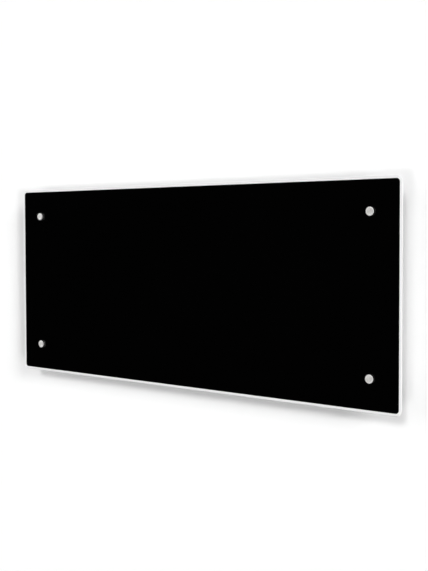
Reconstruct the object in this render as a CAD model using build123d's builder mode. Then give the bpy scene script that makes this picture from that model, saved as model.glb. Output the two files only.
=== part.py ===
from build123d import *
from collections import namedtuple
from math import cos, radians, sin, sqrt
import os

# Wall-hung infrared panel heater: a black glass front in a thin white rim, held by four round metal caps,
# with a shallow sheet-steel tray behind it that hangs on the four hooks of a wall bracket.
#
# X runs along the wall, to the right as seen from the room. Z is up. +Y points into the wall, and the wall
# is the plane Y = 0. The origin is the centre of the bracket's four wall screws.
# A depth is a distance from the wall towards the room, so depth d lies at Y = -d. Sizes are millimetres.

os.makedirs("parts", exist_ok=True)

# ---------------------------------------------------------------- driving dimensions

# Fits
thread_gap = 0.05  # radial, a screw or stud in its thread
hole_gap = 0.1  # radial, a screw or bush in a plain hole
panel_fit = 0.2  # each side, a moulding in a cut-out

# Front panel
panel_width = 800.0
panel_height = 340.0
panel_corner = 9.5
rim_width = 4.0  # white band seen round the black glass
rim_bevel = 0.8
rim_edge = 0.5  # thin outer edge left between the front bevel and the taper behind it
ledge_width = 5.0  # shelf of the rim behind the glass edge
ledge_thickness = 1.2
glass_thickness = 4.0
glass_gap = 0.1  # glue line between the glass edge and the rim
glass_edge = 0.3

# Glass clamps
clamp_inset = 50.0  # panel edge to the middle of each cap
cap_diameter = 13.5
cap_height = 3.5
cap_edge = 1.6  # rounding of the front edge
cap_dish = 0.3  # shallow turned dish in the cap's face
cap_land = 2.3  # cap's side to the dish
washer_inset = 0.6
washer_thickness = 0.5
stud_diameter = 6.0
stud_in_cap = 2.0
post_diameter = 12.0
bush_wall = 1.4
bush_flange = 14.0
post_screw_diameter = 5.0
post_screw_length = 13.0
post_screw_head = 9.5
post_screw_head_height = 2.8
post_screw_crown = 0.9
hex_socket = 3.0  # across flats
hex_socket_depth = 1.6

# Heating laminate
laminate_post_gap = 9.5  # bare carrier between the laminate and the posts
laminate_edge = 13.0  # bare carrier above and below the laminate
laminate_corner = 4.0
mica_thickness = 0.5
foil_thickness = 0.3
foil_run_count = 20  # an even number brings both ends to the same side
foil_track = 9.0
foil_end_margin = 9.0  # bare mica beyond the end of each run
foil_side_margin = 6.8
terminal_inset = 17.0
terminal_head = 7.6
terminal_head_thickness = 0.4
terminal_stem = 4.0
terminal_reach = 10.0  # behind the carrier plate
terminal_tab_width = 6.3
terminal_tab_length = 12.0
tab_thickness = 0.8
ceramic_flange = 12.0
ceramic_flange_thickness = 2.0

# Sheet-steel tray
wall_gap = 18.0  # wall to the tray's back
tray_inset = 26.0  # how far the tray's walls stand in from the panel's edges
tray_depth = 36.0
tray_corner = 6.0
tray_bend = 3.0
sheet = 1.0
flange_width = 12.0
carrier_thickness = 1.0
carrier_screw = 3.0
carrier_screw_head = 5.4
carrier_screw_head_height = 1.1
carrier_screw_reach = 3.0  # behind the flange
carrier_screw_count = 6  # along each of the two long sides
vent_width = 4.0
vent_height = 18.0
vent_pitch = 15.0
vent_edge = 22.0  # tray's edge to the middle of a row
mat_vent_count = 36
bay_vent_count = 6

# Insulation
mat_air_gap = 8.0  # tray's back to the mat
mat_side_gap = 4.0
pad_thickness = 8.0
strap_width = 20.0
strap_thickness = 1.0
strap_count = 3

# Wall bracket
bracket_sheet = 2.0
strip_spacing = 400.0
strip_width = 40.0
strip_height = 260.0
strip_corner = 4.0
wall_screw_hole = 6.6
wall_screw_inset = 12.0  # strip's end to the middle of a hole
upper_hook_drop = 35.0  # strip's top to the top of the hook's arm
lower_hook_rise = 80.0  # strip's bottom to the top of the hook's arm
hook_width = 24.0
hook_lip = 12.0
hook_clearance = 1.0  # between the tray's back and a hook's lip
hook_window = 31.0
hook_slot_height = 16.0
hook_slot_gap = 2.0
rail_width = 20.0
rail_overhang = 5.0
upper_rail_drop = 95.0
lower_rail_rise = 33.0
rivet_diameter = 4.0
rivet_head = 8.0
rivet_head_height = 1.2
rivet_spread = 24.0
buffer_diameter = 20.0
buffer_side_inset = 74.0
buffer_end_inset = 48.0
buffer_wall_gap = 0.5
buffer_edge = 2.0

# Control fascia in the tray's top, at the right-hand end
fascia_post_gap = 3.0
fascia_width = 26.0
fascia_plate = 1.5
fascia_corner = 3.0
fascia_edge = 0.5
fascia_lip = 2.0  # plate beyond the cut-out, on every side
fascia_wall = 2.0
fascia_skirt = 12.0
fascia_clip_length = 8.0
fascia_clip_reach = 0.6
fascia_clip_height = 1.5
fascia_clip_spread = 60.0
fascia_end_margin = 7.0  # fascia's left end to the window
fascia_button_margin = 10.0  # last button to the fascia's right end
window_length = 34.0
window_width = 12.0
window_corner = 1.5
window_flange = 1.5
window_flange_thickness = 1.0
window_gap = 5.0  # window to the first button
window_fit = 0.1
display_inset = 2.0
display_width = 10.0
display_gap = 0.3
button_names = ("button_minus", "button_plus", "button_mode")
button_length = 12.0
button_width = 9.0
button_corner = 1.8
button_edge = 0.4
button_pitch = 15.0
button_proud = 1.0
button_fit = 0.2
button_flange = 1.2
button_flange_thickness = 1.0
button_stem = 3.6
button_travel = 0.8
button_slack = 0.1
mark_size = 4.6
mark_line = 0.9
mark_depth = 0.3
tact_size = 6.0
tact_body = 3.5
tact_height = 5.0
tact_actuator = 3.4
wireless_length = 15.0
wireless_width = 10.0
wireless_board = 0.8
wireless_can = 2.4
wireless_can_margin = 0.7
antenna_length = 4.5

# Rocker switch in the right-hand wall
switch_drop = 74.0  # tray's top to the switch's middle
switch_bezel = 1.6
switch_bezel_lip = 1.4
switch_bezel_corner = 1.5
switch_body_depth = 17.0
switch_side_wall = 1.1
switch_end_wall = 0.8
switch_clip_length = 6.0
switch_clip_reach = 0.6
rocker_width = 10.0
rocker_radius = 8.4
rocker_gap = 0.3
rocker_valley = 2.2  # face above the pivot, in the middle
rocker_ends = 3.9  # face above the pivot, at the ends
rocker_bottom = 2.5
rocker_half_throw = 9.0  # degrees each side of the middle
rocker_pivot_inset = 1.0  # pivot behind the tray's wall
rocker_well = 4.6  # pivot to the bottom of the cavity
trunnion_diameter = 2.4
trunnion_seat = 0.7  # length of each trunnion in the housing's wall
switch_tab_width = 4.8
switch_tab_length = 8.0

# Cable gland in the bottom wall
gland_offset = 20.0  # to the right of the fascia's middle
gland_thread = 16.0
gland_hex = 20.0
gland_hex_height = 5.0
gland_inside = 9.0
gland_outside = 8.0
gland_relief = 0.5
gland_bore = 9.5
gland_nut_wall = 2.4
gland_nut_lip = 2.0
gland_nut_edge = 2.5
locknut_hex = 22.0
locknut_height = 4.0
seal_wall = 2.6
seal_bore = 7.0
seal_length = 11.0
seal_seat = 9.0

# Electronics behind the control bay
bay_margin = 5.0
board_margin = 10.0
board_thickness = 1.6
board_width = 92.0
board_drop = 49.0  # tray's top to the board's top
board_rise = 69.0  # tray's bottom to the board's bottom
board_corner = 2.0
board_stand = 5.0
board_screw = 3.0
board_screw_inset = 5.0
board_screw_head = 6.0
board_screw_head_height = 2.0
stand_diameter = 6.0
part_edge = 0.6  # moulded edge of each component
capacitor_diameter = 12.0
capacitor_height = 15.0
capacitor_pitch = 16.0
ribbon_width = 14.0
ribbon_thickness = 0.8
ribbon_rise = 4.0  # above the board's face
cutout_offset = 40.0  # from the partition
cutout_drop = 27.0  # below the board
cutout_diameter = 16.0
cutout_height = 9.0
cutout_ear = 4.0
cutout_foot = 1.0
cutout_tab = 5.0
earth_offset = 14.0
earth_drop = 29.0  # below the board
earth_thread = 4.0
earth_foot = 9.0
earth_foot_thickness = 1.0
earth_length = 12.0
earth_nut_hex = 7.0
earth_nut_height = 3.2
earth_eye = 8.6
earth_eye_thickness = 0.8
lead_diameter = 2.6
lead_bend = 3.0
sensor_offset = 22.0
sensor_diameter = 4.0
sensor_reach = 10.0
sensor_collar = 8.0
sensor_collar_height = 3.0

# Components on the main board: the middle of each from the board's left and bottom edges, and its size.
Block = namedtuple("Block", "left rise width height depth")
relay = Block(left=34.0, rise=112.0, width=20.0, height=18.0, depth=15.5)
supply_block = Block(left=30.0, rise=64.0, width=36.0, height=26.0, depth=16.0)
fuse_holder = Block(left=68.0, rise=34.0, width=8.0, height=26.0, depth=8.0)
terminal_block = Block(left=36.0, rise=14.0, width=32.0, height=12.0, depth=13.0)
capacitor_left = 70.0
capacitor_rise = 92.0
ribbon_socket_left = 46.0
ribbon_socket_drop = 10.0  # below the board's top
ribbon_socket_width = 18.0
ribbon_socket_height = 6.0
ribbon_socket_depth = 8.0

# ---------------------------------------------------------------- derived depths and places

tray_back = wall_gap
tray_inside = tray_back + sheet
tray_front = tray_back + tray_depth
tray_middle = tray_back + tray_depth / 2
laminate_back = tray_front + carrier_thickness
foil_back = laminate_back + mica_thickness
foil_front = foil_back + foil_thickness
glass_back = foil_front + mica_thickness
glass_front = glass_back + glass_thickness
cap_back = glass_front + washer_thickness
cap_front = cap_back + cap_height

tray_width = panel_width - 2 * tray_inset
tray_height = panel_height - 2 * tray_inset
tray_right = tray_width / 2
tray_top = tray_height / 2
inner_width = tray_width - 2 * sheet
inner_height = tray_height - 2 * sheet
opening_width = tray_width - 2 * flange_width
opening_height = tray_height - 2 * flange_width

clamp_x = panel_width / 2 - clamp_inset
clamp_z = panel_height / 2 - clamp_inset
post_inside = clamp_x - post_diameter / 2
stud_bore = stud_diameter + 2 * thread_gap
glass_hole = stud_bore + 2 * (bush_wall + hole_gap)

strip_x = strip_spacing / 2
wall_screw_z = strip_height / 2 - wall_screw_inset
hook_tops = (strip_height / 2 - upper_hook_drop, lower_hook_rise - strip_height / 2)
rail_heights = (strip_height / 2 - upper_rail_drop, lower_rail_rise - strip_height / 2)
hook_reach = tray_inside + hook_clearance + bracket_sheet

button_start = fascia_end_margin + window_length + window_gap + button_length / 2
button_offsets = [button_start + i * button_pitch for i in range(len(button_names))]
fascia_length = button_offsets[-1] + button_length / 2 + fascia_button_margin
fascia_right = post_inside - fascia_post_gap
fascia_left = fascia_right - fascia_length
fascia_x = (fascia_left + fascia_right) / 2
fascia_top = tray_top + fascia_plate
skirt_bottom = tray_top - fascia_skirt
cutout_length = fascia_length - 2 * fascia_lip
cutout_width = fascia_width - 2 * fascia_lip
skirt_length = cutout_length - 2 * panel_fit
skirt_width = cutout_width - 2 * panel_fit
display_board_back = skirt_bottom - board_thickness
window_x = fascia_left + fascia_end_margin + window_length / 2
button_places = [(fascia_left + offset, -tray_middle) for offset in button_offsets]

bay_left = fascia_left - bay_margin
board_left = bay_left + board_margin
board_top = tray_top - board_drop
board_bottom = board_rise - tray_top
board_height = board_top - board_bottom
board_back = tray_inside + board_stand
board_front = board_back + board_thickness
gland_x = fascia_x + gland_offset
switch_z = tray_top - switch_drop
thermostat_x = bay_left + cutout_offset
thermostat_z = board_bottom - cutout_drop
earth_x = bay_left + earth_offset
earth_z = board_bottom - earth_drop
sensor_x = bay_left + sensor_offset


def from_wall(depth):
    """The plane at this distance from the wall, facing the room; its local axes are X and Z."""
    return Plane.XZ.offset(depth)


def level(height):
    """The horizontal plane at this height; its local axes are X and Y."""
    return Plane.XY.offset(height)


def from_middle(distance):
    """The upright plane square to the panel at this X, facing right; its local axes are Y and Z."""
    return Plane.YZ.offset(distance)


def clamp_grid():
    """The four clamps, one near each corner of the panel."""
    return GridLocations(2 * clamp_x, 2 * clamp_z, 2, 2)


def finish(piece, name):
    """Label a finished piece and write it to its own file."""
    piece.part.label = name
    export_step(piece.part, f"parts/{name}.step")


# ---------------------------------------------------------------- front panel

with BuildPart() as front_glass:
    with BuildSketch(from_wall(glass_back)):
        RectangleRounded(
            panel_width - 2 * (rim_width + glass_gap),
            panel_height - 2 * (rim_width + glass_gap),
            panel_corner - rim_width,
        )
        with clamp_grid():
            Circle(glass_hole / 2, mode=Mode.SUBTRACT)
    extrude(amount=glass_thickness)
    chamfer(front_glass.faces().sort_by(Axis.Y)[0].outer_wire().edges(), glass_edge)
finish(front_glass, "front_glass")

# The rim is an L in section: a band flush with the glass, and a ledge that the glass is bonded to. Its back
# tapers in from the outer edge, which makes the panel look thin.
with BuildPart() as rim_frame:
    sight_width = panel_width - 2 * rim_width
    sight_height = panel_height - 2 * rim_width
    rim_taper = glass_thickness + ledge_thickness - rim_bevel - rim_edge
    with BuildSketch(from_wall(glass_back - ledge_thickness)):
        RectangleRounded(panel_width, panel_height, panel_corner)
        Rectangle(sight_width - 2 * ledge_width, sight_height - 2 * ledge_width, mode=Mode.SUBTRACT)
    extrude(amount=ledge_thickness)
    with BuildSketch(from_wall(glass_back)):
        RectangleRounded(panel_width, panel_height, panel_corner)
        RectangleRounded(sight_width, sight_height, panel_corner - rim_width, mode=Mode.SUBTRACT)
    extrude(amount=glass_thickness)
    chamfer(rim_frame.faces().sort_by(Axis.Y)[0].outer_wire().edges(), rim_bevel)
    chamfer(rim_frame.faces().sort_by(Axis.Y)[-1].outer_wire().edges(), rim_taper)
finish(rim_frame, "rim_frame")

# ---------------------------------------------------------------- glass clamps

with BuildPart() as clamp_caps:
    with BuildSketch(from_wall(cap_back)):
        with clamp_grid():
            Circle(cap_diameter / 2)
    extrude(amount=cap_height)
    fillet(clamp_caps.edges().group_by(Axis.Y)[0], cap_edge)
    with BuildSketch(from_wall(cap_front)):
        with clamp_grid():
            Circle(cap_diameter / 2 - cap_land)
    extrude(amount=-cap_dish, mode=Mode.SUBTRACT)
    with BuildSketch(from_wall(cap_back)):
        with clamp_grid():
            Circle(stud_diameter / 2)
    extrude(amount=stud_in_cap, mode=Mode.SUBTRACT)
finish(clamp_caps, "clamp_caps")

with BuildPart() as cap_washers:
    with BuildSketch(from_wall(glass_front)):
        with clamp_grid():
            Circle(cap_diameter / 2 - washer_inset)
            Circle(stud_bore / 2, mode=Mode.SUBTRACT)
    extrude(amount=washer_thickness)
finish(cap_washers, "cap_washers")

with BuildPart() as glass_bushes:
    with BuildSketch(from_wall(laminate_back)):
        with clamp_grid():
            Circle(bush_flange / 2)
    extrude(amount=glass_back - laminate_back)
    with BuildSketch(from_wall(glass_back)):
        with clamp_grid():
            Circle(glass_hole / 2 - hole_gap)
    extrude(amount=glass_thickness)
    with BuildSketch(from_wall(laminate_back)):
        with clamp_grid():
            Circle(stud_bore / 2)
    extrude(amount=glass_front - laminate_back, mode=Mode.SUBTRACT)
finish(glass_bushes, "glass_bushes")

# Each post stands on the tray's back, carries the glass on its shoulder and ends in the stud for the cap.
with BuildPart() as standoff_posts:
    with BuildSketch(from_wall(tray_inside)):
        with clamp_grid():
            Circle(post_diameter / 2)
    extrude(amount=laminate_back - tray_inside)
    with BuildSketch(from_wall(laminate_back)):
        with clamp_grid():
            Circle(stud_diameter / 2 - thread_gap)
    extrude(amount=cap_back + stud_in_cap - thread_gap - laminate_back)
    with BuildSketch(from_wall(tray_inside)):
        with clamp_grid():
            Circle(post_screw_diameter / 2 + thread_gap)
    extrude(amount=post_screw_length, mode=Mode.SUBTRACT)
finish(standoff_posts, "standoff_posts")

with BuildPart() as post_screws:
    head_back = tray_back - post_screw_head_height
    with BuildSketch(from_wall(head_back)):
        with clamp_grid():
            Circle(post_screw_head / 2)
    extrude(amount=post_screw_head_height)
    fillet(post_screws.edges().group_by(Axis.Y)[-1], post_screw_crown)
    with BuildSketch(from_wall(tray_back)):
        with clamp_grid():
            Circle(post_screw_diameter / 2)
    extrude(amount=post_screw_length)
    with BuildSketch(from_wall(head_back)):
        with clamp_grid():
            RegularPolygon(hex_socket / 2, 6, major_radius=False)
    extrude(amount=hex_socket_depth, mode=Mode.SUBTRACT)
finish(post_screws, "post_screws")

# ---------------------------------------------------------------- heating laminate

laminate_width = 2 * (post_inside - laminate_post_gap)
laminate_height = tray_height - 2 * laminate_edge
foil_length = laminate_width - 2 * foil_end_margin
foil_span = laminate_height - 2 * foil_side_margin - foil_track
foil_pitch = foil_span / (foil_run_count - 1)
terminal_x = laminate_width / 2 - terminal_inset
terminal_z = foil_span / 2
terminal_back = tray_front - terminal_reach
terminal_places = [(terminal_x, terminal_z), (terminal_x, -terminal_z)]

with BuildPart() as front_mica:
    with BuildSketch(from_wall(foil_front)):
        RectangleRounded(laminate_width, laminate_height, laminate_corner)
    extrude(amount=mica_thickness)
finish(front_mica, "front_mica")

with BuildPart() as heating_foil:
    with BuildSketch(from_wall(foil_back)):
        with GridLocations(0, foil_pitch, 1, foil_run_count):
            Rectangle(foil_length, foil_track)
        for link in range(foil_run_count - 1):
            side = -1 if link % 2 == 0 else 1
            link_z = foil_span / 2 - (link + 0.5) * foil_pitch
            with Locations((side * (foil_length - foil_track) / 2, link_z)):
                Rectangle(foil_track, foil_pitch)
    extrude(amount=foil_thickness)
finish(heating_foil, "heating_foil")

with BuildPart() as rear_mica:
    with BuildSketch(from_wall(laminate_back)):
        RectangleRounded(laminate_width, laminate_height, laminate_corner)
        with Locations(*terminal_places):
            Circle(terminal_head / 2 + hole_gap, mode=Mode.SUBTRACT)
    extrude(amount=mica_thickness)
finish(rear_mica, "rear_mica")

with BuildPart() as element_terminals:
    with BuildSketch(from_wall(foil_back - terminal_head_thickness)):
        with Locations(*terminal_places):
            Circle(terminal_head / 2)
    extrude(amount=terminal_head_thickness)
    with BuildSketch(from_wall(terminal_back)):
        with Locations(*terminal_places):
            Circle(terminal_stem / 2)
    extrude(amount=foil_back - terminal_head_thickness - terminal_back)
    # each tab lies across its stem's end and points towards the middle of the bay
    with BuildSketch(from_wall(terminal_back - tab_thickness)):
        for x, z in terminal_places:
            with Locations((x, z - (terminal_tab_length / 4 if z > 0 else -terminal_tab_length / 4))):
                Rectangle(terminal_tab_width, terminal_tab_length)
    extrude(amount=tab_thickness)
finish(element_terminals, "element_terminals")

with BuildPart() as terminal_bushes:
    with BuildSketch(from_wall(tray_front - ceramic_flange_thickness)):
        with Locations(*terminal_places):
            Circle(ceramic_flange / 2)
    extrude(amount=ceramic_flange_thickness)
    with BuildSketch(from_wall(tray_front)):
        with Locations(*terminal_places):
            Circle(terminal_head / 2)
    extrude(amount=foil_back - terminal_head_thickness - tray_front)
    with BuildSketch(from_wall(tray_front - ceramic_flange_thickness)):
        with Locations(*terminal_places):
            Circle(terminal_stem / 2 + thread_gap)
    extrude(amount=foil_back - tray_front + ceramic_flange_thickness, mode=Mode.SUBTRACT)
finish(terminal_bushes, "terminal_bushes")

# ---------------------------------------------------------------- carrier plate and tray

screw_span_x = tray_width - flange_width
screw_span_z = tray_height - flange_width
screw_pitch = screw_span_x / (carrier_screw_count - 1)


def carrier_screw_grid():
    """The screws along the tray's upper and lower flange."""
    return GridLocations(screw_pitch, screw_span_z, carrier_screw_count, 2)


mat_left = mat_side_gap - post_inside
mat_right = bay_left - sheet - mat_side_gap
mat_x = (mat_left + mat_right) / 2
mat_back = tray_inside + mat_air_gap
pad_left = bay_left + mat_side_gap
pad_right = post_inside - mat_side_gap
pad_x = (pad_left + pad_right) / 2

with BuildPart() as carrier_plate:
    with BuildSketch(from_wall(tray_front)):
        RectangleRounded(inner_width, inner_height, tray_corner - sheet)
        with clamp_grid():
            Circle(post_diameter / 2 + hole_gap, mode=Mode.SUBTRACT)
        with carrier_screw_grid():
            Circle(carrier_screw / 2 + hole_gap, mode=Mode.SUBTRACT)
        with Locations(*terminal_places):
            Circle(terminal_head / 2 + hole_gap, mode=Mode.SUBTRACT)
    extrude(amount=carrier_thickness)
finish(carrier_plate, "carrier_plate")

with BuildPart() as carrier_screws:
    screw_tip = tray_front - sheet - carrier_screw_reach
    with BuildSketch(from_wall(laminate_back)):
        with carrier_screw_grid():
            Circle(carrier_screw_head / 2)
    extrude(amount=carrier_screw_head_height)
    with BuildSketch(from_wall(screw_tip)):
        with carrier_screw_grid():
            Circle(carrier_screw / 2)
    extrude(amount=laminate_back - screw_tip)
finish(carrier_screws, "carrier_screws")

switch_body_width = rocker_width + 2 * (rocker_gap + switch_side_wall)
switch_body_height = 2 * (rocker_radius + rocker_gap + switch_end_wall)

with BuildPart() as rear_tray:
    with BuildSketch(from_wall(tray_back)):
        RectangleRounded(tray_width, tray_height, tray_corner)
    extrude(amount=tray_depth)
    fillet(rear_tray.faces().sort_by(Axis.Y)[-1].edges(), tray_bend)
    offset(amount=-sheet, openings=rear_tray.faces().sort_by(Axis.Y)[0])
    # flange that the carrier plate is screwed to
    with BuildSketch(from_wall(tray_front - sheet)):
        RectangleRounded(tray_width, tray_height, tray_corner)
        Rectangle(opening_width, opening_height, mode=Mode.SUBTRACT)
        with carrier_screw_grid():
            Circle(carrier_screw / 2 + thread_gap, mode=Mode.SUBTRACT)
    extrude(amount=sheet)
    # back: hook slots, vents above and below, and holes for the post screws
    with BuildSketch(from_wall(tray_back)):
        for arm_top in hook_tops:
            slot_z = arm_top - hook_slot_height / 2
            with Locations((strip_x, slot_z), (-strip_x, slot_z)):
                Rectangle(hook_width + 2 * hook_slot_gap, hook_slot_height)
        for middle, count in ((mat_x, mat_vent_count), (pad_x, bay_vent_count)):
            for side in (1, -1):
                with Locations((middle, side * (tray_top - vent_edge))):
                    with GridLocations(vent_pitch, 0, count, 1):
                        SlotOverall(vent_height, vent_width, rotation=90)
        with clamp_grid():
            Circle(post_screw_diameter / 2 + hole_gap)
    extrude(amount=sheet, mode=Mode.SUBTRACT)
    # top: cut-out for the control fascia
    with BuildSketch(level(tray_top)):
        with Locations((fascia_x, -tray_middle)):
            Rectangle(cutout_length, cutout_width)
    extrude(amount=-sheet, mode=Mode.SUBTRACT)
    # bottom: holes for the cable gland and the room sensor
    with BuildSketch(level(-tray_top)):
        with Locations((gland_x, -tray_middle)):
            Circle(gland_thread / 2 + hole_gap)
        with Locations((sensor_x, -tray_middle)):
            Circle(sensor_diameter / 2 + hole_gap)
    extrude(amount=sheet, mode=Mode.SUBTRACT)
    # right-hand wall: cut-out for the rocker switch
    with BuildSketch(from_middle(tray_right)):
        with Locations((-tray_middle, switch_z)):
            Rectangle(switch_body_width + 2 * panel_fit, switch_body_height + 2 * panel_fit)
    extrude(amount=-sheet, mode=Mode.SUBTRACT)
finish(rear_tray, "rear_tray")

with BuildPart() as wall_buffers:
    with BuildSketch(from_wall(buffer_wall_gap)):
        with GridLocations(tray_width - 2 * buffer_side_inset, tray_height - 2 * buffer_end_inset, 2, 2):
            Circle(buffer_diameter / 2)
    extrude(amount=tray_back - buffer_wall_gap)
    fillet(wall_buffers.edges().group_by(Axis.Y)[-1], buffer_edge)
finish(wall_buffers, "wall_buffers")

# ---------------------------------------------------------------- insulation

mat_width = mat_right - mat_left
mat_height = opening_height - 2 * hole_gap
pad_top = display_board_back - mat_side_gap
pad_bottom = -mat_height / 2

with BuildPart() as insulation_mat:
    with BuildSketch(from_wall(mat_back)):
        with Locations((mat_x, 0)):
            Rectangle(mat_width, mat_height)
    extrude(amount=tray_front - mat_back)
finish(insulation_mat, "insulation_mat")

with BuildPart() as bay_pad:
    with BuildSketch(from_wall(tray_front - pad_thickness)):
        with Locations((pad_x, (pad_top + pad_bottom) / 2)):
            Rectangle(pad_right - pad_left, pad_top - pad_bottom)
        with Locations(*terminal_places):
            Circle(ceramic_flange / 2 + panel_fit, mode=Mode.SUBTRACT)
        with Locations((thermostat_x, thermostat_z)):
            Rectangle(
                cutout_diameter + 2 * (cutout_ear + panel_fit),
                cutout_diameter + 2 * panel_fit,
                mode=Mode.SUBTRACT,
            )
    extrude(amount=pad_thickness)
finish(bay_pad, "bay_pad")

with BuildPart() as mat_straps:
    with BuildSketch(from_wall(mat_back - strap_thickness)):
        with Locations((mat_x, 0)):
            with GridLocations(mat_width / strap_count, 0, strap_count, 1):
                Rectangle(strap_width, inner_height)
    extrude(amount=strap_thickness)
finish(mat_straps, "mat_straps")

# The partition stands between the tray's two flanges, clear of the screws in them.
with BuildPart() as bay_partition:
    partition_height = opening_height - 2 * panel_fit
    with BuildSketch(from_wall(tray_inside)):
        with Locations((bay_left - sheet / 2, 0)):
            Rectangle(sheet, partition_height)
    extrude(amount=tray_front - sheet - tray_inside)
    with BuildSketch(from_wall(tray_inside)):
        with Locations((bay_left - flange_width / 2, 0)):
            Rectangle(flange_width, partition_height)
    extrude(amount=sheet)
finish(bay_partition, "bay_partition")

# ---------------------------------------------------------------- control fascia

with BuildPart() as control_fascia:
    with BuildSketch(level(tray_top)):
        with Locations((fascia_x, -tray_middle)):
            RectangleRounded(fascia_length, fascia_width, fascia_corner)
    extrude(amount=fascia_plate)
    chamfer(control_fascia.faces().sort_by(Axis.Z)[-1].edges(), fascia_edge)
    with BuildSketch(level(skirt_bottom)):
        with Locations((fascia_x, -tray_middle)):
            Rectangle(skirt_length, skirt_width)
            Rectangle(skirt_length - 2 * fascia_wall, skirt_width - 2 * fascia_wall, mode=Mode.SUBTRACT)
    extrude(amount=fascia_skirt)
    # snap ridges that catch under the tray's sheet
    with BuildSketch(level(tray_top - sheet - hole_gap)):
        with Locations((fascia_x, -tray_middle)):
            with GridLocations(fascia_clip_spread, skirt_width, 2, 2):
                Rectangle(fascia_clip_length, 2 * fascia_clip_reach)
    extrude(amount=-fascia_clip_height)
    with BuildSketch(level(tray_top)):
        with Locations((window_x, -tray_middle)):
            RectangleRounded(window_length, window_width, window_corner)
        with Locations(*button_places):
            RectangleRounded(button_length + 2 * button_fit, button_width + 2 * button_fit, button_corner)
    extrude(amount=fascia_plate, mode=Mode.SUBTRACT)
finish(control_fascia, "control_fascia")

with BuildPart() as display_window:
    with BuildSketch(level(tray_top - window_flange_thickness)):
        with Locations((window_x, -tray_middle)):
            Rectangle(window_length + 2 * window_flange, window_width + 2 * window_flange)
    extrude(amount=window_flange_thickness)
    with BuildSketch(level(tray_top)):
        with Locations((window_x, -tray_middle)):
            RectangleRounded(window_length - 2 * window_fit, window_width - 2 * window_fit, window_corner)
    extrude(amount=fascia_plate)
finish(display_window, "display_window")

with BuildPart() as display_board:
    with BuildSketch(level(display_board_back)):
        with Locations((fascia_x, -tray_middle)):
            Rectangle(skirt_length, skirt_width)
    extrude(amount=board_thickness)
finish(display_board, "display_board")

with BuildPart() as digit_display:
    with BuildSketch(level(skirt_bottom)):
        with Locations((window_x, -tray_middle)):
            Rectangle(window_length - 2 * display_inset, display_width)
    extrude(amount=fascia_skirt - window_flange_thickness - display_gap)
finish(digit_display, "digit_display")

with BuildPart() as tact_switches:
    with BuildSketch(level(skirt_bottom)):
        with Locations(*button_places):
            Rectangle(tact_size, tact_size)
    extrude(amount=tact_body)
    with BuildSketch(level(skirt_bottom + tact_body)):
        with Locations(*button_places):
            Circle(tact_actuator / 2)
    extrude(amount=tact_height - tact_body)
finish(tact_switches, "tact_switches")

# The wireless module hangs under the display board, with its antenna end clear of the metal can.
with BuildPart() as wireless_module:
    wireless_x = fascia_right - fascia_button_margin
    with BuildSketch(level(display_board_back)):
        with Locations((wireless_x, -tray_middle)):
            Rectangle(wireless_width, wireless_length)
    extrude(amount=-wireless_board)
    with BuildSketch(level(display_board_back - wireless_board)):
        with Locations((wireless_x, antenna_length / 2 - tray_middle)):
            Rectangle(
                wireless_width - 2 * wireless_can_margin,
                wireless_length - antenna_length - 2 * wireless_can_margin,
            )
    extrude(amount=-wireless_can)
finish(wireless_module, "wireless_module")

# Push buttons: a cap through the fascia, a flange that stops under it, and a stem over its switch.
flange_top = tray_top - button_slack
flange_bottom = flange_top - button_flange_thickness
stem_bottom = skirt_bottom + tact_height + button_travel + button_slack
button_top = fascia_top + button_proud

for name, place in zip(button_names, button_places):
    with BuildPart() as button:
        with BuildSketch(level(flange_bottom)):
            with Locations(place):
                RectangleRounded(
                    button_length + 2 * button_flange,
                    button_width + 2 * button_flange,
                    button_corner,
                )
        extrude(amount=button_flange_thickness)
        with BuildSketch(level(flange_top)):
            with Locations(place):
                RectangleRounded(button_length, button_width, button_corner)
        extrude(amount=button_top - flange_top)
        fillet(button.faces().sort_by(Axis.Z)[-1].edges(), button_edge)
        with BuildSketch(level(stem_bottom)):
            with Locations(place):
                Circle(button_stem / 2)
        extrude(amount=flange_bottom - stem_bottom)
        # engraved mark: a minus, a plus or a ring
        with BuildSketch(level(button_top)):
            with Locations(place):
                if name == "button_mode":
                    Circle(mark_size / 2)
                    Circle(mark_size / 2 - mark_line, mode=Mode.SUBTRACT)
                else:
                    Rectangle(mark_size, mark_line)
                if name == "button_plus":
                    Rectangle(mark_line, mark_size)
        extrude(amount=-mark_depth, mode=Mode.SUBTRACT)
    finish(button, name)

# ---------------------------------------------------------------- rocker switch

pivot_x = tray_right - rocker_pivot_inset
bezel_front = tray_right + switch_bezel
switch_back = tray_right - switch_body_depth
cavity_width = rocker_width + 2 * rocker_gap
cavity_height = 2 * (rocker_radius + rocker_gap)
trunnion_length = rocker_width / 2 + rocker_gap + trunnion_seat

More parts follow.
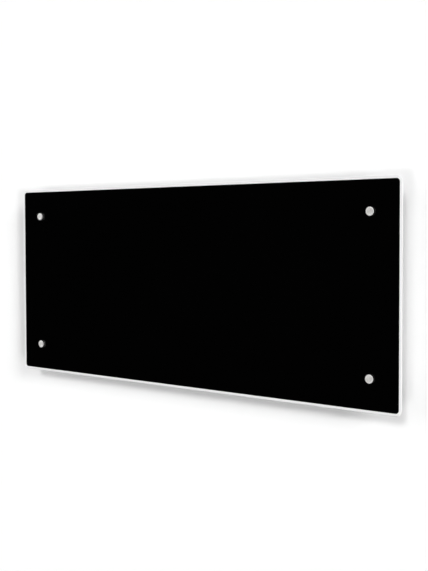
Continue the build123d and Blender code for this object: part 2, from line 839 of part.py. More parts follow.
with BuildPart() as switch_housing:
    with BuildSketch(from_middle(tray_right)):
        with Locations((-tray_middle, switch_z)):
            RectangleRounded(
                switch_body_width + 2 * switch_bezel_lip,
                switch_body_height + 2 * switch_bezel_lip,
                switch_bezel_corner,
            )
    extrude(amount=switch_bezel)
    chamfer(switch_housing.faces().sort_by(Axis.X)[-1].edges(), fascia_edge)
    with BuildSketch(from_middle(tray_right)):
        with Locations((-tray_middle, switch_z)):
            Rectangle(switch_body_width, switch_body_height)
    extrude(amount=-switch_body_depth)
    # snap ridges that catch behind the tray's wall
    with BuildSketch(from_middle(tray_right - sheet - hole_gap)):
        with Locations((-tray_middle, switch_z)):
            with GridLocations(0, switch_body_height, 1, 2):
                Rectangle(switch_clip_length, 2 * switch_clip_reach)
    extrude(amount=-fascia_clip_height)
    with BuildSketch(from_middle(bezel_front)):
        with Locations((-tray_middle, switch_z)):
            Rectangle(cavity_width, cavity_height)
    extrude(amount=pivot_x - rocker_well - bezel_front, mode=Mode.SUBTRACT)
    with BuildSketch(Plane(origin=(pivot_x, -tray_middle, switch_z), x_dir=(1, 0, 0), z_dir=(0, 1, 0))):
        Circle(trunnion_diameter / 2 + thread_gap)
    extrude(amount=trunnion_length + thread_gap, both=True, mode=Mode.SUBTRACT)
finish(switch_housing, "switch_housing")

# The rocker is drawn in its own tilted plane: local x runs up the wall and local y points out of it.
rest_tilt = radians(-rocker_half_throw)
rocker_plane = Plane(
    origin=(pivot_x, -tray_middle, switch_z),
    x_dir=(sin(rest_tilt), 0, cos(rest_tilt)),
    z_dir=(0, 1, 0),
)
face_end = sqrt(rocker_radius**2 - rocker_ends**2)
base_end = sqrt(rocker_radius**2 - rocker_bottom**2)

with BuildPart() as switch_rocker:
    with BuildSketch(rocker_plane):
        with BuildLine():
            Polyline((-face_end, rocker_ends), (0, rocker_valley), (face_end, rocker_ends))
            ThreePointArc((face_end, rocker_ends), (rocker_radius, 0), (base_end, -rocker_bottom))
            Line((base_end, -rocker_bottom), (-base_end, -rocker_bottom))
            ThreePointArc((-base_end, -rocker_bottom), (-rocker_radius, 0), (-face_end, rocker_ends))
        make_face()
    extrude(amount=rocker_width / 2, both=True)
    with BuildSketch(rocker_plane):
        Circle(trunnion_diameter / 2)
    extrude(amount=trunnion_length, both=True)
finish(switch_rocker, "switch_rocker")

with BuildPart() as switch_tabs:
    with BuildSketch(from_middle(switch_back)):
        with Locations((-tray_middle, switch_z)):
            with GridLocations(0, switch_body_height / 2, 1, 2):
                Rectangle(switch_tab_width, tab_thickness)
    extrude(amount=-switch_tab_length)
finish(switch_tabs, "switch_tabs")

# ---------------------------------------------------------------- cable gland

hex_bottom = -tray_top - gland_hex_height
gland_bottom = hex_bottom - gland_outside
relieved_radius = gland_thread / 2 - gland_relief
seal_radius = gland_bore / 2 - thread_gap + (seal_wall - (gland_bore - seal_bore) / 2)
seal_bottom = gland_bottom + seal_seat - seal_length
nut_bottom = seal_bottom - gland_nut_lip

with BuildPart() as gland_body:
    with BuildSketch(level(hex_bottom)):
        with Locations((gland_x, -tray_middle)):
            RegularPolygon(gland_hex / 2, 6, major_radius=False)
    extrude(amount=gland_hex_height)
    with BuildSketch(level(-tray_top)):
        with Locations((gland_x, -tray_middle)):
            Circle(gland_thread / 2)
    extrude(amount=gland_inside)
    with BuildSketch(level(gland_bottom)):
        with Locations((gland_x, -tray_middle)):
            Circle(relieved_radius)
    extrude(amount=gland_outside)
    with BuildSketch(level(gland_bottom)):
        with Locations((gland_x, -tray_middle)):
            Circle(gland_bore / 2)
    extrude(amount=gland_outside + gland_hex_height + gland_inside, mode=Mode.SUBTRACT)
    with BuildSketch(level(gland_bottom)):
        with Locations((gland_x, -tray_middle)):
            Circle(seal_radius + thread_gap)
    extrude(amount=seal_seat, mode=Mode.SUBTRACT)
finish(gland_body, "gland_body")

with BuildPart() as gland_seal:
    with BuildSketch(level(seal_bottom)):
        with Locations((gland_x, -tray_middle)):
            Circle(seal_radius)
            Circle(seal_bore / 2, mode=Mode.SUBTRACT)
    extrude(amount=seal_length)
finish(gland_seal, "gland_seal")

with BuildPart() as gland_nut:
    with BuildSketch(level(nut_bottom)):
        with Locations((gland_x, -tray_middle)):
            Circle(relieved_radius + gland_nut_wall)
    extrude(amount=hex_bottom - nut_bottom)
    fillet(gland_nut.edges().group_by(Axis.Z)[0], gland_nut_edge)
    with BuildSketch(level(seal_bottom)):
        with Locations((gland_x, -tray_middle)):
            Circle(relieved_radius + thread_gap)
    extrude(amount=hex_bottom - seal_bottom, mode=Mode.SUBTRACT)
    with BuildSketch(level(nut_bottom)):
        with Locations((gland_x, -tray_middle)):
            Circle(gland_bore / 2)
    extrude(amount=gland_nut_lip, mode=Mode.SUBTRACT)
finish(gland_nut, "gland_nut")

with BuildPart() as gland_locknut:
    with BuildSketch(level(sheet - tray_top)):
        with Locations((gland_x, -tray_middle)):
            RegularPolygon(locknut_hex / 2, 6, major_radius=False)
            Circle(gland_thread / 2 + thread_gap, mode=Mode.SUBTRACT)
    extrude(amount=locknut_height)
finish(gland_locknut, "gland_locknut")

# ---------------------------------------------------------------- electronics

board_x = board_left + board_width / 2
board_z = board_bottom + board_height / 2


def board_grid():
    """The four screws of the main board, about its middle."""
    return GridLocations(board_width - 2 * board_screw_inset, board_height - 2 * board_screw_inset, 2, 2)


with BuildPart() as board_stands:
    with BuildSketch(from_wall(tray_inside)):
        with Locations((board_x, board_z)):
            with board_grid():
                Circle(stand_diameter / 2)
                Circle(board_screw / 2 + thread_gap, mode=Mode.SUBTRACT)
    extrude(amount=board_stand)
finish(board_stands, "board_stands")

with BuildPart() as main_board:
    with BuildSketch(from_wall(board_back)):
        with Locations((board_x, board_z)):
            RectangleRounded(board_width, board_height, board_corner)
            with board_grid():
                Circle(board_screw / 2 + hole_gap, mode=Mode.SUBTRACT)
    extrude(amount=board_thickness)
finish(main_board, "main_board")

with BuildPart() as board_screws:
    with BuildSketch(from_wall(board_front)):
        with Locations((board_x, board_z)):
            with board_grid():
                Circle(board_screw_head / 2)
    extrude(amount=board_screw_head_height)
    with BuildSketch(from_wall(tray_inside + sheet)):
        with Locations((board_x, board_z)):
            with board_grid():
                Circle(board_screw / 2)
    extrude(amount=board_front - tray_inside - sheet)
finish(board_screws, "board_screws")

for name, block in (
    ("relay", relay),
    ("supply_block", supply_block),
    ("fuse_holder", fuse_holder),
    ("terminal_block", terminal_block),
):
    with BuildPart() as component:
        with BuildSketch(from_wall(board_front)):
            with Locations((board_left + block.left, board_bottom + block.rise)):
                Rectangle(block.width, block.height)
        extrude(amount=block.depth)
        chamfer(component.faces().sort_by(Axis.Y)[0].edges(), part_edge)
    finish(component, name)

with BuildPart() as capacitors:
    with BuildSketch(from_wall(board_front)):
        with Locations((board_left + capacitor_left, board_bottom + capacitor_rise)):
            with GridLocations(0, capacitor_pitch, 1, 2):
                Circle(capacitor_diameter / 2)
    extrude(amount=capacitor_height)
    fillet(capacitors.edges().group_by(Axis.Y)[0], part_edge)
finish(capacitors, "capacitors")

ribbon_x = board_left + ribbon_socket_left
socket_z = board_top - ribbon_socket_drop
ribbon_bottom = socket_z + ribbon_socket_height / 2

with BuildPart() as ribbon_socket:
    with BuildSketch(from_wall(board_front)):
        with Locations((ribbon_x, socket_z)):
            Rectangle(ribbon_socket_width, ribbon_socket_height)
    extrude(amount=ribbon_socket_depth)
    chamfer(ribbon_socket.faces().sort_by(Axis.Y)[0].edges(), part_edge)
finish(ribbon_socket, "ribbon_socket")

with BuildPart() as ribbon_cable:
    with BuildSketch(from_wall(board_front + ribbon_rise)):
        with Locations((ribbon_x, (ribbon_bottom + display_board_back) / 2)):
            Rectangle(ribbon_width, display_board_back - ribbon_bottom)
    extrude(amount=ribbon_thickness)
finish(ribbon_cable, "ribbon_cable")

with BuildPart() as overheat_cutout:
    with BuildSketch(from_wall(tray_front - cutout_foot)):
        with Locations((thermostat_x, thermostat_z)):
            Rectangle(cutout_diameter + 2 * cutout_ear, cutout_diameter / 2)
            Circle(cutout_diameter / 2)
    extrude(amount=cutout_foot)
    with BuildSketch(from_wall(tray_front - cutout_height)):
        with Locations((thermostat_x, thermostat_z)):
            Circle(cutout_diameter / 2)
    extrude(amount=cutout_height)
    with BuildSketch(from_wall(tray_front - cutout_height - cutout_tab)):
        with Locations((thermostat_x, thermostat_z)):
            with GridLocations(cutout_diameter / 2, 0, 2, 1):
                Rectangle(tab_thickness, switch_tab_width)
    extrude(amount=cutout_tab)
finish(overheat_cutout, "overheat_cutout")

with BuildPart() as earth_stud:
    with BuildSketch(from_wall(tray_inside)):
        with Locations((earth_x, earth_z)):
            Circle(earth_foot / 2)
    extrude(amount=earth_foot_thickness)
    with BuildSketch(from_wall(tray_inside)):
        with Locations((earth_x, earth_z)):
            Circle(earth_thread / 2)
    extrude(amount=earth_length)
finish(earth_stud, "earth_stud")

eye_back = tray_inside + earth_foot_thickness
nut_back = eye_back + earth_eye_thickness

with BuildPart() as earth_nut:
    with BuildSketch(from_wall(nut_back)):
        with Locations((earth_x, earth_z)):
            RegularPolygon(earth_nut_hex / 2, 6, major_radius=False)
            Circle(earth_thread / 2 + thread_gap, mode=Mode.SUBTRACT)
    extrude(amount=earth_nut_height)
finish(earth_nut, "earth_nut")

# ---------------------------------------------------------------- leads inside the control bay

block_x = board_left + terminal_block.left
block_top = board_bottom + terminal_block.rise + terminal_block.height / 2
block_bottom = block_top - terminal_block.height
block_pitch = terminal_block.width / 8  # between the wires that enter the block
relay_x = board_left + relay.left
relay_y = -(board_front + relay.depth / 2)
relay_top = board_bottom + relay.rise + relay.height / 2
lead_y = -tray_middle
tab_y = tab_thickness / 2 - terminal_back
tab_end = terminal_z - 3 * terminal_tab_length / 4
wire_clear = 4 * lead_diameter  # straight stretch at each end of a lead

element_routes = (
    (
        (terminal_x, tab_y, tab_end),
        (terminal_x, tab_y, tab_end - wire_clear),
        (relay_x, relay_y, relay_top + wire_clear),
        (relay_x, relay_y, relay_top),
    ),
    (
        (terminal_x, tab_y, -tab_end),
        (terminal_x, tab_y, -tab_end + wire_clear),
        (block_x + 2 * block_pitch, lead_y, block_bottom - wire_clear),
        (block_x + 2 * block_pitch, lead_y, block_bottom),
    ),
)
tab_edge = switch_back - switch_tab_length
run_x = board_left + board_width - wire_clear / 2
switch_routes = tuple(
    (
        (tab_edge, lead_y, switch_z + side * switch_body_height / 4),
        (run_x - side * lead_diameter, lead_y, switch_z + side * switch_body_height / 4),
        (run_x - side * lead_diameter, lead_y, block_top + wire_clear + side * lead_diameter),
        (block_x - 2 * side * block_pitch, lead_y, block_top + wire_clear + side * lead_diameter),
        (block_x - 2 * side * block_pitch, lead_y, block_top),
    )
    for side in (1, -1)
)
cutout_tab_y = cutout_height + cutout_tab - tray_front
cutout_wire_y = cutout_tab_y + wire_clear
cutout_routes = tuple(
    (
        (thermostat_x + side * cutout_diameter / 4, cutout_tab_y, thermostat_z),
        (thermostat_x + side * cutout_diameter / 4, cutout_wire_y, thermostat_z),
        (block_x + (side - 1) * block_pitch, cutout_wire_y, block_bottom - wire_clear),
        (block_x + (side - 1) * block_pitch, cutout_wire_y, block_bottom),
    )
    for side in (1, -1)
)

for name, routes in (
    ("element_leads", element_routes),
    ("switch_leads", switch_routes),
    ("cutout_leads", cutout_routes),
):
    with BuildPart() as leads:
        for route in routes:
            with BuildLine() as path:
                FilletPolyline(*route, radius=lead_bend)
            with BuildSketch(Plane(origin=route[0], z_dir=path.line % 0)):
                Circle(lead_diameter / 2)
            sweep(path=path.line)
    finish(leads, name)

# The earth lead ends in an eye round the stud, under its nut.
earth_y = -(eye_back + lead_diameter / 2)
crimp_z = earth_z + earth_eye / 2
earth_route = (
    (earth_x, earth_y, crimp_z),
    (earth_x, earth_y, crimp_z + wire_clear / 2),
    (block_x - 3 * block_pitch, cutout_wire_y, block_bottom - wire_clear),
    (block_x - 3 * block_pitch, cutout_wire_y, block_bottom),
)

with BuildPart() as earth_lead:
    with BuildLine() as path:
        FilletPolyline(*earth_route, radius=lead_bend)
    with BuildSketch(Plane(origin=earth_route[0], z_dir=path.line % 0)):
        Circle(lead_diameter / 2)
    sweep(path=path.line)
    with BuildSketch(from_wall(eye_back)):
        with Locations((earth_x, earth_z)):
            Circle(earth_eye / 2)
        with Locations((earth_x, crimp_z)):
            Rectangle(lead_diameter, lead_diameter)
        with Locations((earth_x, earth_z)):
            Circle(earth_thread / 2 + thread_gap, mode=Mode.SUBTRACT)
    extrude(amount=earth_eye_thickness)
finish(earth_lead, "earth_lead")

# Room sensor: a metal tip through the tray's bottom, moulded to its collar and its own thin lead.
sensor_route = (
    (sensor_x, lead_y, sheet + sensor_collar_height - tray_top),
    (sensor_x, lead_y, board_bottom + wire_clear),
    (sensor_x, -board_front, board_bottom + wire_clear),
)

with BuildPart() as room_sensor:
    with BuildSketch(level(-tray_top - sensor_reach)):
        with Locations((sensor_x, -tray_middle)):
            Circle(sensor_diameter / 2)
    extrude(amount=sensor_reach + sheet)
    fillet(room_sensor.edges().group_by(Axis.Z)[0], sensor_diameter / 4)
    with BuildSketch(level(sheet - tray_top)):
        with Locations((sensor_x, -tray_middle)):
            Circle(sensor_collar / 2)
    extrude(amount=sensor_collar_height)
    with BuildLine() as path:
        FilletPolyline(*sensor_route, radius=lead_bend)
    with BuildSketch(Plane(origin=sensor_route[0], z_dir=path.line % 0)):
        Circle(lead_diameter / 2)
    sweep(path=path.line)
finish(room_sensor, "room_sensor")

# ---------------------------------------------------------------- wall bracket

for name, side in (("bracket_strip_left", -1), ("bracket_strip_right", 1)):
    with BuildPart() as strip:
        with BuildSketch(from_wall(0)):
            with Locations((side * strip_x, 0)):
                RectangleRounded(strip_width, strip_height, strip_corner)
                with GridLocations(0, 2 * wall_screw_z, 1, 2):
                    Circle(wall_screw_hole / 2, mode=Mode.SUBTRACT)
            for rail_z in rail_heights:
                with Locations((side * strip_x, rail_z)):
                    with GridLocations(rivet_spread, 0, 2, 1):
                        Circle(rivet_diameter / 2 + thread_gap, mode=Mode.SUBTRACT)
            # windows that the hooks were bent out of
            for arm_top in hook_tops:
                with Locations((side * strip_x, arm_top - bracket_sheet - hook_window / 2)):
                    Rectangle(hook_width, hook_window, mode=Mode.SUBTRACT)
        extrude(amount=bracket_sheet)
        for arm_top in hook_tops:
            with BuildSketch(from_wall(0)):
                with Locations((side * strip_x, arm_top - bracket_sheet / 2)):
                    Rectangle(hook_width, bracket_sheet)
            extrude(amount=hook_reach)
            with BuildSketch(from_wall(hook_reach - bracket_sheet)):
                with Locations((side * strip_x, arm_top + (hook_lip - bracket_sheet) / 2)):
                    Rectangle(hook_width, hook_lip + bracket_sheet)
            extrude(amount=bracket_sheet)
    finish(strip, name)


for name, rail_z in zip(("bracket_rail_upper", "bracket_rail_lower"), rail_heights):
    with BuildPart() as rail:
        with BuildSketch(from_wall(bracket_sheet)):
            with Locations((0, rail_z)):
                RectangleRounded(strip_spacing + strip_width + 2 * rail_overhang, rail_width, strip_corner)
                with GridLocations(strip_spacing, 0, 2, 1), GridLocations(rivet_spread, 0, 2, 1):
                    Circle(rivet_diameter / 2 + thread_gap, mode=Mode.SUBTRACT)
        extrude(amount=bracket_sheet)
    finish(rail, name)

with BuildPart() as bracket_rivets:
    for depth, length, radius in (
        (thread_gap, 2 * bracket_sheet - thread_gap, rivet_diameter / 2),
        (2 * bracket_sheet, rivet_head_height, rivet_head / 2),
    ):
        with BuildSketch(from_wall(depth)):
            with Locations(*[(0, rail_z) for rail_z in rail_heights]):
                with GridLocations(strip_spacing, 0, 2, 1), GridLocations(rivet_spread, 0, 2, 1):
                    Circle(radius)
        extrude(amount=length)
finish(bracket_rivets, "bracket_rivets")
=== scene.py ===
import math

import bmesh
import bpy
from mathutils import Matrix, Vector, noise


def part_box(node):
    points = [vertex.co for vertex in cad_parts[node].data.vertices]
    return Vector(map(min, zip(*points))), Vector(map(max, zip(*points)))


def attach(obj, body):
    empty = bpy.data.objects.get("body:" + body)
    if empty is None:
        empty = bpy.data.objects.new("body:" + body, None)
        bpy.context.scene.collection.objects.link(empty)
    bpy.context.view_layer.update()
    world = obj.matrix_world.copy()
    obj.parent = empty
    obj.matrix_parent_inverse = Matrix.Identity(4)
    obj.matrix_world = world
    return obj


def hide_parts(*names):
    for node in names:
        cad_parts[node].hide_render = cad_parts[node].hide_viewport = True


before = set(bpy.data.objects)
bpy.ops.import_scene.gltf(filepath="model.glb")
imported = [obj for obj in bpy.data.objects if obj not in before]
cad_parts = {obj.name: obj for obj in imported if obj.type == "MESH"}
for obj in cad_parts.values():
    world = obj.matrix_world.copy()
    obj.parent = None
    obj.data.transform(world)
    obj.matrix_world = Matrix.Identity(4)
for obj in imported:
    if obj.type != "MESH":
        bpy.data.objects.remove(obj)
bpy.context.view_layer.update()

scene = bpy.context.scene
MM = 0.001

# The round caps of the glass clamps: their radius and the rounding of their front edge.
CAP_RADIUS = 6.75 * MM
CAP_ROUND = 1.6 * MM

# ---------------------------------------------------------------- node helpers


class Nodes:
    """A node tree, with short calls for the nodes that it is made of."""

    def __init__(self, tree):
        self.tree = tree

    def node(self, kind, **settings):
        made = self.tree.nodes.new(kind)
        for key, value in settings.items():
            setattr(made, key, value)
        return made

    def link(self, source, target):
        self.tree.links.new(source, target)

    def set_or_link(self, socket, value):
        if isinstance(value, bpy.types.NodeSocket):
            self.link(value, socket)
        else:
            socket.default_value = value

    def math(self, operation, first, second=0.0):
        made = self.node("ShaderNodeMath", operation=operation)
        self.set_or_link(made.inputs[0], first)
        self.set_or_link(made.inputs[1], second)
        return made.outputs[0]

    def fit(self, value, low, high, start=0.0, end=1.0, curve="LINEAR"):
        """value, mapped from start..end to low..high and kept there."""
        made = self.node("ShaderNodeMapRange", interpolation_type=curve)
        self.set_or_link(made.inputs["Value"], value)
        for key, number in (("From Min", start), ("From Max", end), ("To Min", low), ("To Max", high)):
            made.inputs[key].default_value = number
        return made.outputs["Result"]

    def parts(self, vector):
        """The outputs X, Y and Z of a vector."""
        made = self.node("ShaderNodeSeparateXYZ")
        self.link(vector, made.inputs[0])
        return made.outputs

    def plain_shader(self, kind, colour=(1.0, 1.0, 1.0)):
        made = self.node(kind)
        made.inputs["Color"].default_value = (*colour, 1.0)
        return made.outputs[0]

    def mixed_shader(self, amount, first, second):
        made = self.node("ShaderNodeMixShader")
        for source, socket in zip((amount, first, second), made.inputs):
            self.link(source, socket)
        return made.outputs[0]

    def seen(self):
        """1 where the camera looks, straight, in a reflection or through something clear, and 0 for light."""
        rays = self.node("ShaderNodeLightPath").outputs
        straight_or_reflected = self.math("MAXIMUM", rays["Is Camera Ray"], rays["Is Glossy Ray"])
        return self.math("MAXIMUM", straight_or_reflected, rays["Is Transmission Ray"])


class Finish(Nodes):
    """The node material of one of the record's slots, on one Principled shader."""

    def __init__(self, slot, metallic=0.0, specular=0.5, coat=0.0, coat_roughness=0.1):
        self.slot = slot
        self.material = bpy.data.materials.new(slot)
        self.material.use_nodes = True
        super().__init__(self.material.node_tree)
        self.shader = self.tree.nodes["Principled BSDF"]
        self.shader.inputs["Metallic"].default_value = metallic
        self.shader.inputs["IOR"].default_value = 1.5
        self.shader.inputs["Specular IOR Level"].default_value = specular
        self.shader.inputs["Coat Weight"].default_value = coat
        self.shader.inputs["Coat Roughness"].default_value = coat_roughness
        self.place = self.node("ShaderNodeTexCoord").outputs["Object"]

    def stretched(self, scale, turn=(0, 0, 0)):
        """The piece's own coordinates, scaled along each axis."""
        made = self.node("ShaderNodeMapping")
        made.inputs["Scale"].default_value = scale
        made.inputs["Rotation"].default_value = turn
        self.link(self.place, made.inputs["Vector"])
        return made.outputs[0]

    def noise(self, scale, detail=3.0, place=None, rough=0.5):
        """Noise of about scale features a metre, from 0 to 1."""
        made = self.node("ShaderNodeTexNoise")
        made.inputs["Scale"].default_value = scale
        made.inputs["Detail"].default_value = detail
        made.inputs["Roughness"].default_value = rough
        self.link(place or self.place, made.inputs["Vector"])
        return made.outputs["Fac"]

    def cells(self, scale, output="Distance", place=None, feature="F1"):
        """Irregular cells, about scale of them a metre."""
        made = self.node("ShaderNodeTexVoronoi", feature=feature)
        made.inputs["Scale"].default_value = scale
        self.link(place or self.place, made.inputs["Vector"])
        return made.outputs[output]

    def blend(self, amount, first, second):
        """first where amount is 0, second where it is 1; each is a colour or a node's output."""
        made = self.node("ShaderNodeMix", data_type="RGBA")
        self.set_or_link(made.inputs["Factor"], amount)
        self.set_or_link(made.inputs["A"], (*first, 1.0) if isinstance(first, tuple) else first)
        self.set_or_link(made.inputs["B"], (*second, 1.0) if isinstance(second, tuple) else second)
        return made.outputs["Result"]

    def colour(self, value):
        self.link(value, self.shader.inputs["Base Color"])
        return self

    def roughness(self, value):
        self.link(value, self.shader.inputs["Roughness"])
        return self

    def bump(self, height, depth, strength=1.0):
        """height, from 0 to 1, stands for a relief of depth metres."""
        made = self.node("ShaderNodeBump")
        made.inputs["Strength"].default_value = strength
        made.inputs["Distance"].default_value = depth
        self.link(height, made.inputs["Height"])
        self.link(made.outputs[0], self.shader.inputs["Normal"])
        return self


def shade(colour, factor):
    return tuple(channel * factor for channel in colour)


def painted(slot, colour, grain, relief, rough):
    """Sprayed or powder-coated sheet: a fine orange peel and the faintest mottling."""
    made = Finish(slot, coat=0.15, coat_roughness=0.2)
    peel = made.noise(grain, 2.0)
    mottle = made.noise(14.0, 4.0)
    made.colour(made.blend(made.fit(mottle, 0.0, 1.0, 0.3, 0.7), shade(colour, 0.975), colour))
    made.roughness(made.fit(made.noise(60.0, 5.0), *rough, 0.3, 0.7))
    return made.bump(peel, relief)


def moulded(slot, colour, spread=0.08, rough=(0.42, 0.58), grain=2200.0, relief=0.012 * MM):
    """Injection-moulded plastic: spark-eroded grain, slightly uneven gloss."""
    made = Finish(slot)
    drift = made.noise(45.0, 4.0)
    darker = shade(colour, 1 - spread)
    lighter = shade(colour, 1 + spread)
    made.colour(made.blend(made.fit(drift, 0.0, 1.0, 0.3, 0.7), darker, lighter))
    made.roughness(made.fit(made.noise(240.0, 4.0), *rough, 0.3, 0.7))
    return made.bump(made.cells(grain), relief, 0.6)


def metal(slot, colour, dark, rough, scale=(60.0, 60.0, 60.0)):
    """Bare or plated metal; unequal scale values give a brushed direction."""
    made = Finish(slot, metallic=1.0)
    grain = made.noise(8.0, 6.0, made.stretched(scale), 0.65)
    tarnish = made.noise(70.0, 5.0)
    made.colour(made.blend(made.fit(tarnish, 0.0, 1.0, 0.3, 0.75), shade(colour, dark), colour))
    made.roughness(made.fit(grain, *rough, 0.25, 0.75))
    return made.bump(grain, 0.006 * MM)


def rubbery(slot, colour, dust, rough=(0.62, 0.85), relief=0.03 * MM):
    """Rubber or silicone: dull, with a bloom of paler dust."""
    made = Finish(slot, specular=0.35)
    bloom = made.noise(120.0, 6.0)
    made.colour(made.blend(made.fit(bloom, 0.0, 0.6, 0.45, 0.8), colour, dust))
    made.roughness(made.fit(made.noise(300.0, 3.0), *rough, 0.3, 0.7))
    return made.bump(made.noise(1600.0, 2.0), relief, 0.7)


# ---------------------------------------------------------------- finishes of the record's slots


def black_glass():
    """Deep black enamel behind polished float glass."""
    made = Finish("black_glass", specular=0.38)
    haze = made.noise(6.0, 3.0)
    made.colour(made.blend(haze, (0.0004, 0.0004, 0.0004), (0.0008, 0.0008, 0.0008)))
    made.roughness(made.fit(made.noise(30.0, 5.0), 0.012, 0.03, 0.35, 0.7))
    return made.bump(made.noise(3.0, 1.0), 0.004 * MM, 0.3)


def turned_steel():
    """A turned cap: brushed facing cuts round its own axis, Y, and a smoother edge and side. Its colour also
    carries two opposite painted highlights.
    """
    made = Finish("cap_metal")
    cut_pitch = 0.22 * MM
    streaks_out = 4500.0  # steps of the streak noise a metre of radius
    streaks_round = 1.5  # radius, in steps of that noise, of the circle that it follows round the axis
    painted_gleam_turn = 0.9  # radians, of the two opposite painted highlights
    painted_gleam_share = 0.16

    parts = made.parts(made.place)
    across = made.math("POWER", parts["X"], 2.0)
    up = made.math("POWER", parts["Z"], 2.0)
    radius = made.math("SQRT", made.math("ADD", across, up))
    angle = made.math("ARCTAN2", parts["X"], parts["Z"])
    edge = made.fit(radius, 0.0, 1.0, CAP_RADIUS - CAP_ROUND, CAP_RADIUS - CAP_ROUND / 2)
    side = made.fit(radius, 0.0, 1.0, CAP_RADIUS - CAP_ROUND / 4, CAP_RADIUS - CAP_ROUND / 16)

    sweep = made.node("ShaderNodeCombineXYZ")
    made.link(made.math("MULTIPLY", radius, streaks_out), sweep.inputs["X"])
    made.link(made.math("MULTIPLY", made.math("COSINE", angle), streaks_round), sweep.inputs["Y"])
    made.link(made.math("MULTIPLY", made.math("SINE", angle), streaks_round), sweep.inputs["Z"])
    streak = made.noise(1.0, 4.0, sweep.outputs[0])
    # Painted highlight: two opposite lighter wedges in the face's colour, like the sheen that a turned face
    # shows under light.
    painted_gleam = made.math("COSINE", made.math("ADD", made.math("MULTIPLY", angle, 2.0), painted_gleam_turn))
    # The face's tone: the cut streaks plus the painted highlight.
    tone = made.math("ADD", made.math("MULTIPLY", painted_gleam, painted_gleam_share), streak)
    face = made.blend(made.fit(tone, 0.0, 1.0, 0.3, 0.8), (0.84, 0.82, 0.795), (0.98, 0.965, 0.94))
    made.colour(made.blend(edge, face, (0.90, 0.89, 0.88)))

    metallic = made.math("ADD", made.fit(edge, 0.48, 0.62), made.fit(side, 0.0, 0.38))
    made.link(metallic, made.shader.inputs["Metallic"])
    smoothed = made.math("MULTIPLY", made.fit(edge, 1.0, 0.45), made.fit(side, 1.0, 0.4))
    made.roughness(made.math("MULTIPLY", made.fit(streak, 0.34, 0.5, 0.3, 0.7), smoothed))
    cuts = made.math("SINE", made.math("MULTIPLY", radius, 2 * math.pi / cut_pitch))
    return made.bump(made.fit(cuts, 0.0, 1.0, -1.0, 1.0), 0.008 * MM, 0.8)


def galvanised():
    """Hot-dip zinc with spangles about 8 mm across."""
    made = Finish("bracket_zinc", metallic=1.0)
    spangle = made.cells(150.0, "Color")
    tone = made.node("ShaderNodeRGBToBW")
    made.link(spangle, tone.inputs[0])
    half_spangle = made.math("MULTIPLY", tone.outputs[0], 0.5)
    half_noise = made.math("MULTIPLY", made.noise(300.0, 4.0), 0.5)
    mixed = made.math("ADD", half_spangle, half_noise)
    made.colour(made.blend(made.fit(mixed, 0.0, 1.0, 0.2, 0.8), (0.56, 0.575, 0.59), (0.68, 0.695, 0.71)))
    made.roughness(made.fit(mixed, 0.36, 0.5, 0.25, 0.75))
    return made.bump(made.noise(500.0, 4.0), 0.01 * MM, 0.6)


def mica():
    """Pressed mica flakes, silvery tan."""
    made = Finish("mica_sheet", coat=0.3)
    flake = made.cells(260.0, "Distance", made.stretched((1.0, 1.0, 0.7)))
    made.colour(made.blend(made.fit(flake, 0.0, 1.0, 0.1, 0.6), (0.48, 0.40, 0.27), (0.70, 0.64, 0.50)))
    made.roughness(made.fit(made.noise(180.0, 5.0), 0.3, 0.6))
    return made.bump(flake, 0.03 * MM, 0.6)


def mineral_wool():
    """Tangled fibres, yellowish grey, with darker binder specks."""
    made = Finish("mineral_wool", specular=0.1)
    fibres = made.noise(220.0, 8.0, made.stretched((1.0, 3.0, 0.5), (0.0, 0.5, 0.0)), 0.75)
    cross = made.noise(260.0, 8.0, made.stretched((0.4, 3.0, 1.2), (0.0, -0.4, 0.0)), 0.75)
    tangle = made.math("MULTIPLY", made.math("ADD", fibres, cross), 0.5)
    made.colour(made.blend(made.fit(tangle, 0.0, 1.0, 0.35, 0.62), (0.36, 0.31, 0.20), (0.70, 0.65, 0.52)))
    made.roughness(made.fit(tangle, 0.85, 1.0))
    return made.bump(tangle, 0.5 * MM)


def board():
    """Solder mask over copper: a paler web of tracks and ground fill."""
    made = Finish("board_green", coat=0.4, coat_roughness=0.15)
    tracks = made.cells(190.0, "Distance", feature="DISTANCE_TO_EDGE")
    copper = made.fit(tracks, 1.0, 0.0, 0.04, 0.07)
    weave = made.noise(700.0, 3.0)
    base = made.blend(weave, (0.018, 0.14, 0.055), (0.03, 0.20, 0.085))
    made.colour(made.blend(copper, base, (0.05, 0.30, 0.13)))
    made.roughness(made.fit(weave, 0.3, 0.45))
    return made.bump(copper, 0.035 * MM)


def striped(slot, first, second, count, axis):
    """Plastic insulation in two colours, with count stripes a metre along one axis."""
    made = Finish(slot)
    wave = made.math("SINE", made.math("MULTIPLY", made.parts(made.place)[axis], 2 * math.pi * count))
    stripe = made.fit(wave, 0.0, 1.0, -0.15, 0.15)
    worn = made.noise(400.0, 4.0)
    first_worn = made.blend(worn, shade(first, 0.85), first)
    second_worn = made.blend(worn, shade(second, 0.85), second)
    made.colour(made.blend(stripe, first_worn, second_worn))
    made.roughness(made.fit(worn, 0.4, 0.55, 0.3, 0.7))
    return made.bump(wave, 0.02 * MM, 0.3)


